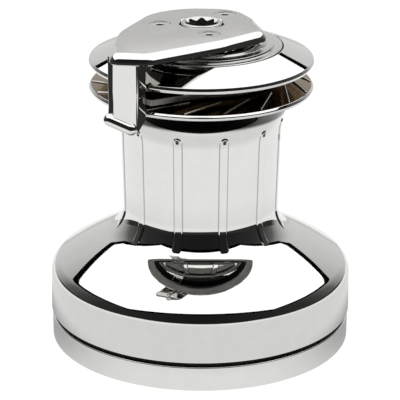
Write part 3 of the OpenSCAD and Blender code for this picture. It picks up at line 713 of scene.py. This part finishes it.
def paint_jaw(jaw, groove_z, way):
    """Painted shade between the ribs, painted shade with painted reflection streaks under the lower jaw, polish
    everywhere else.
    """
    first = len(jaw.data.materials)
    for material in (SHADED_JAW_FACE, SHADED_UNDERSIDE):
        jaw.data.materials.append(material)
    rib_faces = jaw.data.attributes["rib"]
    for i, face in enumerate(jaw.data.polygons):
        if rib_faces.data[i].value:
            continue
        spot = face.center / MM
        radius = math.hypot(spot.x, spot.y)
        # faces between the jaws get the painted-shade jaw face
        if face.normal.z * way > 0.5 and (spot.z - groove_z) * way > -0.2 and radius < JAW_R - 1.4:
            face.material_index = first
        # the lower jaw's underside gets painted shade with painted reflection streaks
        elif way > 0 and face.normal.z < -0.5 and radius < JAW_R - 0.6:
            face.material_index = first + 1


def make_lower_jaw():
    lip = SEAT_Z + 7
    outline = fillet([(HUB_R, SEAT_Z), (SEAT_R, SEAT_Z), (JAW_R - 1, SEAT_Z + 3.1, 1.0),
                      (JAW_R + 0.1, SEAT_Z + 5.3, 1.2), (JAW_R - 1.2, lip, 0.7),
                      (JAW_ROOT_R, lip + JAW_RISE, 1.0), (HUB_R, lip + JAW_RISE)])
    jaw = lathe("lower_jaw_shell", outline, even_angles(288))
    jaw_ribs(jaw, lip + 0.1, 1)
    paint_jaw(jaw, lip, 1)
    settle(jaw, "drum", "lower_jaw")


def make_upper_jaw():
    lip = UPPER_JAW_LOW.z + JAW_RISE
    top = UPPER_JAW_HIGH.z
    outline = fillet([(HUB_R + 0.4, lip - JAW_RISE), (JAW_ROOT_R, lip - JAW_RISE, 1.0),
                      (JAW_R - 1.2, lip, 0.7), (JAW_R + 0.1, lip + 2.2, 1.2), (JAW_R - 0.6, lip + 4.4, 0.8),
                      (58.0, top, 0.6), (57.6, top - 0.6), (57.6, lip + 1.6), (HUB_R + 0.4, lip + 1.6)])
    jaw = lathe("upper_jaw_shell", outline, even_angles(288))
    jaw_ribs(jaw, lip - 0.1, -1)
    paint_jaw(jaw, lip, -1)
    settle(jaw, "upper_jaw", "upper_jaw")


def make_retainer():
    """Stepped ring over the upper jaw, left as turned, so that it mirrors softly."""
    low, top = RETAINER_LOW.z, RETAINER_HIGH.z
    shoulder = top - 3.8
    outline = fillet([(42.5, low), (56.8, low), (56.8, shoulder, 0.8), (51.6, shoulder + 0.3, 0.5),
                      (51.2, shoulder + 1.8, 0.5), (46.4, shoulder + 2.2, 1.2), (45.4, top, 0.6),
                      (42.5, top, 0.5)])
    retainer = paint(lathe("jaw_retainer_shell", outline, even_angles(256)), SLOT_MATERIALS["turned_stainless"])
    settle(retainer, "drum", "jaw_retainer")


# ---------------------------------------------------------------------------------------------
# Cap and feeder arm
# ---------------------------------------------------------------------------------------------


def plate_outline():
    """Outline of the cap and its arm plate seen from above, clockwise from the cap's back."""
    back = [Vector((CAP_R * math.cos(a), CAP_BACK * math.sin(a)))
            for a in (math.radians(165 - 70 * k / 30) for k in range(31))]
    edge = fillet([tuple(back[-1])] + CAP_EDGE + [tuple(back[0])])
    return back + edge[1:-1]


def bevel_width(point):
    """The bevel is broad along the front edge and the right end, and narrow round the back."""
    angle = abs((math.degrees(math.atan2(point.y, point.x)) + 65 + 180) % 360 - 180)
    share = min(1.0, max(0.0, (86 - angle) / 20))
    return 1.5 + 3.7 * share * share * (3 - 2 * share)


def make_plate():
    """The plate with its edge rounded over: part quarter round, part straight bevel."""
    edge = even_outline(plate_outline(), 1.2)
    low, high = PLATE_TOP - PLATE_THICK, PLATE_TOP
    levels = [(0.16, low), (0.0, low + 0.7), (0.0, high - BEVEL_DROP)]
    bend, quarter = 8, 0.62
    for k in range(1, bend + 1):
        angle = math.pi / 2 * k / bend
        straight = (1 - quarter) * k / bend
        levels.append((quarter * (1 - math.cos(angle)) + straight,
                       high - BEVEL_DROP + BEVEL_DROP * (quarter * math.sin(angle) + straight)))
    bm = bmesh.new()
    rings = []
    for share, z in levels:
        rings.append([bm.verts.new((p.x, p.y, z)) for p in inset(edge, lambda p: share * bevel_width(p))])
    bridge(bm, rings)
    bm.faces.new(rings[0])
    bm.faces.new(rings[-1])
    return finish_mesh("self_tailing_arm_shell", bm, 24)


def clear_of_jaws(point):
    """The point, moved outwards where it would come too near the jaws."""
    return point if point.length > ARM_CLEAR else point.normalized() * ARM_CLEAR


def make_leg():
    """The arm's leg: its outer face runs down to the toe, its inner side is cut away in a scoop."""
    section = [clear_of_jaws(p) for p in even_outline(fillet(LEG, 8), 0.9)]
    middle = sum(section, Vector((0, 0))) / len(section)
    ahead = [(p - middle).dot(OUT) for p in section]
    front, back = max(ahead), min(ahead)
    slope = (TOE_LEFT.z - TOE_RIGHT.z) / (TOE_RIGHT.xy - TOE_LEFT.xy).length
    foot = (TOE_LEFT.z + TOE_RIGHT.z) / 2
    steps = 14
    bm = bmesh.new()
    rings = []
    for k in range(-1, steps + 1):
        t = max(0.0, k / steps)
        z = PLATE_TOP - 5.0 if k < 0 else LEG_KNEE + (foot - LEG_KNEE) * t
        ring = []
        for p, a in zip(section, ahead):
            inward = min(1.0, max(0.0, (front - 1.5 - a) / (front - back - 1.5)))
            lift = LEG_SCOOP * inward * t ** 1.2
            fall = slope * (p - middle).dot(ALONG) * t
            q = clear_of_jaws(p - (p - middle).normalized() * (LEG_WAIST * math.sin(math.pi * t)))
            ring.append(bm.verts.new((q.x, q.y, z + lift - fall)))
        rings.append(ring)
    bridge(bm, rings)
    bm.faces.new(rings[0])
    bmesh.ops.triangulate(bm, faces=[bm.faces.new(rings[-1])])
    return finish_mesh("leg", bm, 24)


def make_toe():
    """Rounded bar across the foot of the leg that lifts the rope into the jaws."""
    axis = TOE_RIGHT - TOE_LEFT
    length = axis.length
    turns = [math.pi / 2 * k / 12 for k in range(13)]
    profile = [polar(TOE_R, turn - math.pi / 2) for turn in turns]
    profile += [Vector((TOE_R, length * k / 8)) for k in range(1, 8)]
    profile += [polar(TOE_R, turn) + Vector((0, length)) for turn in turns]
    profile[0].x = profile[-1].x = 0.0
    toe = lathe("toe", profile, even_angles(48), 60)
    turn = axis.to_track_quat("Z", "Y").to_matrix().to_4x4()
    toe.data.transform(Matrix.Translation(TOE_LEFT * MM) @ turn)
    return toe


def make_arm():
    """Plate, leg, toe and the block that ties the leg to the plate, as one casting with its holes."""
    arm = make_plate()
    boss = lathe("boss", [(0, STEM_TOP), (BOSS_R, STEM_TOP), (BOSS_R, PLATE_TOP - 5), (0, PLATE_TOP - 5)],
                 even_angles(128))
    gusset = prism("gusset", fillet(GUSSET, 10), STEM_TOP + 1.7, PLATE_TOP - 5.0)
    boolean(arm, [boss, make_leg(), make_toe(), gusset], "UNION", 24)
    low, high = STEM_TOP - 1, PLATE_TOP + 1
    hole = SPINDLE_HEAD_R + 1.1
    cutters = [lathe("spindle_hole", [(0, low), (hole, low), (hole, PLATE_TOP - 0.8), (hole + 0.8, PLATE_TOP),
                                      (hole + 0.8, high), (0, high)], even_angles(128))]
    seat = SCREW_HEAD_R + 0.35
    for angle in SCREW_ANGLES:
        cutters.append(turned_cutter("screw_hole", polar(SCREW_AT_R, math.radians(angle)), [
            (0, low), (4, low), (4, PLATE_TOP - 4), (seat, PLATE_TOP - 0.5), (seat, high), (0, high)]))
    boolean(arm, cutters, "DIFFERENCE", 24)
    paint(arm, POLISHED, SATIN)
    for face in arm.data.polygons:
        flat_top = face.normal.z > 0.999 and face.center.z > (PLATE_TOP - 0.05) * MM
        face.material_index = 1 if flat_top else 0
    settle(arm, "frame", "self_tailing_arm")


def make_cap_screws():
    """One countersunk screw with a hexagon socket, set in the cap's three holes by a rule."""
    top, r = SCREW_TOP, SCREW_HEAD_R
    outline = fillet([(0, top - 24), (3.9, top - 24, 0.5), (3.9, top - 3.4), (r, top - 0.35, 0.2),
                      (r, top, 0.25), (3.1, top), (2.75, top - 0.35), (2.75, top - 3), (0, top - 3.6)], 15)
    screw = lathe("cap_screws_set", outline, even_angles(64))
    hexagon = [polar(2.92, a) for a in even_angles(6)]
    boolean(screw, [prism("hexagon", hexagon, top - 3.1, top + 1)], "DIFFERENCE")
    first, second, third = (math.radians(a) for a in SCREW_ANGLES)
    rule = Rule("cap_screws", {"Radius": SCREW_AT_R * MM, "First": first, "Second": second, "Third": third,
                               "Finish": SLOT_MATERIALS["turned_stainless"]})
    index = rule.add("GeometryNodeInputIndex")
    angle = rule.given["Third"]
    for before, key in ((1.5, "Second"), (0.5, "First")):
        angle = rule.add("GeometryNodeSwitch", {"Switch": rule.calc("GREATER_THAN", index, before),
                                                "False": rule.given[key], "True": angle}, input_type="FLOAT")
    x = rule.times(rule.given["Radius"], rule.calc("COSINE", angle))
    y = rule.times(rule.given["Radius"], rule.calc("SINE", angle))
    points = rule.add("GeometryNodePoints", {"Count": len(SCREW_ANGLES)})
    placed = rule.add("GeometryNodeSetPosition", {"Geometry": points,
                                                  "Position": rule.add("ShaderNodeCombineXYZ", {0: x, 1: y})})
    set_in = rule.add("GeometryNodeInstanceOnPoints", {"Points": placed, "Instance": rule.given["Geometry"]})
    rule.apply(screw, set_in)
    settle(screw, "frame", "cap_screws", slot="turned_stainless")


# ---------------------------------------------------------------------------------------------
# Spindle
# ---------------------------------------------------------------------------------------------


def star_outline():
    """The eight-point star that two squares of the handle's size make, with its points cut off round."""
    notch = STAR_HALF / math.cos(math.radians(22.5))
    spread = math.radians(45) - math.acos(STAR_HALF / STAR_TIP)
    outline = []
    for point in even_angles(8):
        outline.append(polar(notch, point - math.radians(22.5)))
        outline += [polar(STAR_TIP, point + offset) for offset in (-spread, 0.0, spread)]
    return outline


def make_spindle():
    low, top, head_r = SPINDLE_LOW.z, SPINDLE_HIGH.z, SPINDLE_HEAD_R
    outline = fillet([(0, low), (9, low, 0.8), (9, 29.6), (10, 29.6), (10, 38.7), (12, 38.7), (12, 150),
                      (head_r, 150, 1), (head_r, top, 1.1), (12.6, top, 0.3), (8.6, top - 2.8),
                      (0, top - 2.8)], 8)
    spindle = lathe("spindle_shell", outline, even_angles(160))
    boolean(spindle, [prism("star", star_outline(), top - STAR_DEPTH, top + 1)], "DIFFERENCE")
    settle(paint(spindle, SLOT_MATERIALS["turned_stainless"]), "spindle", "spindle", slot="turned_stainless")


def paint_cad_nodes():
    """Real finishes for the CAD pieces that stay in view or inside."""
    for part in frame["record"]["subparts"]:
        paint(frame["nodes"][part["node"]], SLOT_MATERIALS[part["material_slot"]])


# ---------------------------------------------------------------------------------------------
# Stage, in metres
# ---------------------------------------------------------------------------------------------

FLOOR_Z = -0.001
ROOM_REACH = 6.0
TABLE = [(-0.68, -0.70), (0.20, -0.56), (0.46, -0.56), (0.46, 0.60), (-0.50, 0.60), (-0.50, 0.10)]
LAMP = [(-0.57, 0.94), (-0.79, 0.69), (-0.80, -0.46), (0.84, -0.46), (0.83, 0.80), (0.585, 0.94)]
LAMP_HEIGHT = 0.75
LAMP_FRAME = 0.24
WALL = ((0.0, 0.012), (0.45, 0.03), (0.62, 0.06), (0.74, 0.12), (0.86, 0.42), (0.93, 0.62), (1.0, 0.72))


def glowing(name, level, base="000000"):
    """Matt surface that gives off white light; level is a number, or a function that builds a socket."""
    material, tree, principled = shader(name)
    values = {"Base Color": colour(base), "Specular IOR Level": 0.0, "Roughness": 1.0,
              "Emission Color": colour("ffffff")}
    for socket, value in values.items():
        principled.inputs[socket].default_value = value
    if callable(level):
        tree.links.new(level(tree), principled.inputs["Emission Strength"])
    else:
        principled.inputs["Emission Strength"].default_value = level
    return material


def table_light(tree):
    """How bright the lit table looks to the metal: dimmer in the winch's own shade close round the
    base, most of all behind it."""
    split = add_node(tree, "ShaderNodeSeparateXYZ", {0: object_point(tree)}).outputs
    radius = calc(tree, "SQRT", calc(tree, "ADD", calc(tree, "MULTIPLY", split[0], split[0]),
                                     calc(tree, "MULTIPLY", split[1], split[1])))
    ahead = calc(tree, "DIVIDE", calc(tree, "MULTIPLY", split[1], -1.0), radius)
    near = remap(tree, ahead, 0.42, 0.88, 0.0, 1.0, True)
    far = remap(tree, radius, 0.78, 0.93, 0.22, 0.34, True)
    outer = remap(tree, radius, 0.0, 1.0, 0.125, 0.165, True)
    inner = calc(tree, "SUBTRACT", 1.0, outer)
    return calc(tree, "ADD", calc(tree, "MULTIPLY", near, inner), calc(tree, "MULTIPLY", outer, far))


def toward_back(tree, point):
    """1 for a direction straight to the back of the studio, -1 for one straight to the front."""
    split = add_node(tree, "ShaderNodeSeparateXYZ", {0: point}).outputs
    flat = add_node(tree, "ShaderNodeCombineXYZ", {0: split[0], 1: split[1]}).outputs[0]
    aim = add_node(tree, "ShaderNodeVectorMath", {0: flat}, operation="NORMALIZE").outputs[0]
    return add_node(tree, "ShaderNodeSeparateXYZ", {0: aim}).outputs[1]


def room_light(tree):
    """The studio's floor beyond the table: black in front and at the sides, pale behind."""
    return remap(tree, toward_back(tree, object_point(tree)), 0.03, 0.62, 0.5, 0.85, True)


def flat_card(name, outline, height, material, faces_up=False):
    """Flat panel cut to an outline, which only the metal's reflections show."""
    bm = bmesh.new()
    bm.faces.new([bm.verts.new((x / MM, y / MM, height / MM)) for x, y in outline])
    card = finish_mesh(name, bm)
    if (card.data.polygons[0].normal.z > 0) != faces_up:
        card.data.flip_normals()
    card.visible_camera = False
    paint(card, material)
    return card


def make_floor():
    """Plain white floor, with the lit table's top and the dark room round it as the metal sees them."""
    room = [(x * ROOM_REACH, y * ROOM_REACH) for x, y in ((-1, -1), (1, -1), (1, 1), (-1, 1))]
    bm = bmesh.new()
    bm.faces.new([bm.verts.new((x / MM, y / MM, FLOOR_Z / MM)) for x, y in room])
    paint(finish_mesh("floor", bm), glowing("white_paper", 1.05))
    flat_card("room_floor", room, FLOOR_Z + 0.0003, glowing("studio_floor", room_light), True)
    flat_card("lit_table", TABLE, FLOOR_Z + 0.0006, glowing("lit_white_table", table_light, "101010"), True)


def make_lamp():
    """Large softbox overhead, with the black rim of its frame round the lit cloth."""
    lit = [Vector(p) for p in LAMP]
    flat_card("softbox_cloth", lit, LAMP_HEIGHT, glowing("softbox_cloth", 1.35))
    flat_card("softbox_frame", inset(lit, -LAMP_FRAME), LAMP_HEIGHT + 0.02, glowing("black_frame", 0.0))


def make_world():
    """A studio as polished metal sees it: a grey back wall, darker sides, and black behind the camera."""
    world = bpy.data.worlds.new("studio")
    bpy.context.scene.world = world
    world.use_nodes = True
    tree = world.node_tree
    tree.nodes.clear()
    back = toward_back(tree, add_node(tree, "ShaderNodeTexCoord").outputs["Generated"])
    ramp = add_node(tree, "ShaderNodeValToRGB", {"Fac": remap(tree, back, 0.0, 1.0, -1.0, 1.0)})
    while len(ramp.color_ramp.elements) < len(WALL):
        ramp.color_ramp.elements.new(0.5)
    for element, (position, level) in zip(ramp.color_ramp.elements, WALL):
        element.position = position
        element.color = (level, level, level, 1.0)
    wall = add_node(tree, "ShaderNodeBackground", {"Color": ramp.outputs["Color"], "Strength": 1.0})
    paper = add_node(tree, "ShaderNodeBackground", {"Color": (1, 1, 1, 1), "Strength": 1.0})
    seen = add_node(tree, "ShaderNodeLightPath").outputs["Is Camera Ray"]
    mix = add_node(tree, "ShaderNodeMixShader", {0: seen, 1: wall.outputs[0], 2: paper.outputs[0]})
    output = tree.nodes.new("ShaderNodeOutputWorld")
    tree.links.new(mix.outputs[0], output.inputs["Surface"])


def make_camera():
    """Long lens from the front, looking down a little over 20 degrees."""
    camera = bpy.data.cameras.new("camera")
    camera.sensor_width = 36.0
    camera.lens = 178.5
    camera.shift_x = -0.0016
    camera.clip_end = 50
    holder = bpy.data.objects.new("camera", camera)
    bpy.context.scene.collection.objects.link(holder)
    down = Matrix.Rotation(math.radians(90 - 20.46), 4, "X")
    roll = Matrix.Rotation(math.radians(0.315), 4, "Z")
    holder.matrix_world = Matrix.Translation((0, -1.3419, 0.6010)) @ down @ roll
    bpy.context.scene.camera = holder


paint_cad_nodes()
make_base()
make_drum()
make_lower_jaw()
make_upper_jaw()
make_retainer()
make_arm()
make_cap_screws()
make_spindle()
make_floor()
make_world()
make_lamp()
make_camera()
bpy.context.scene.view_settings.view_transform = "Standard"
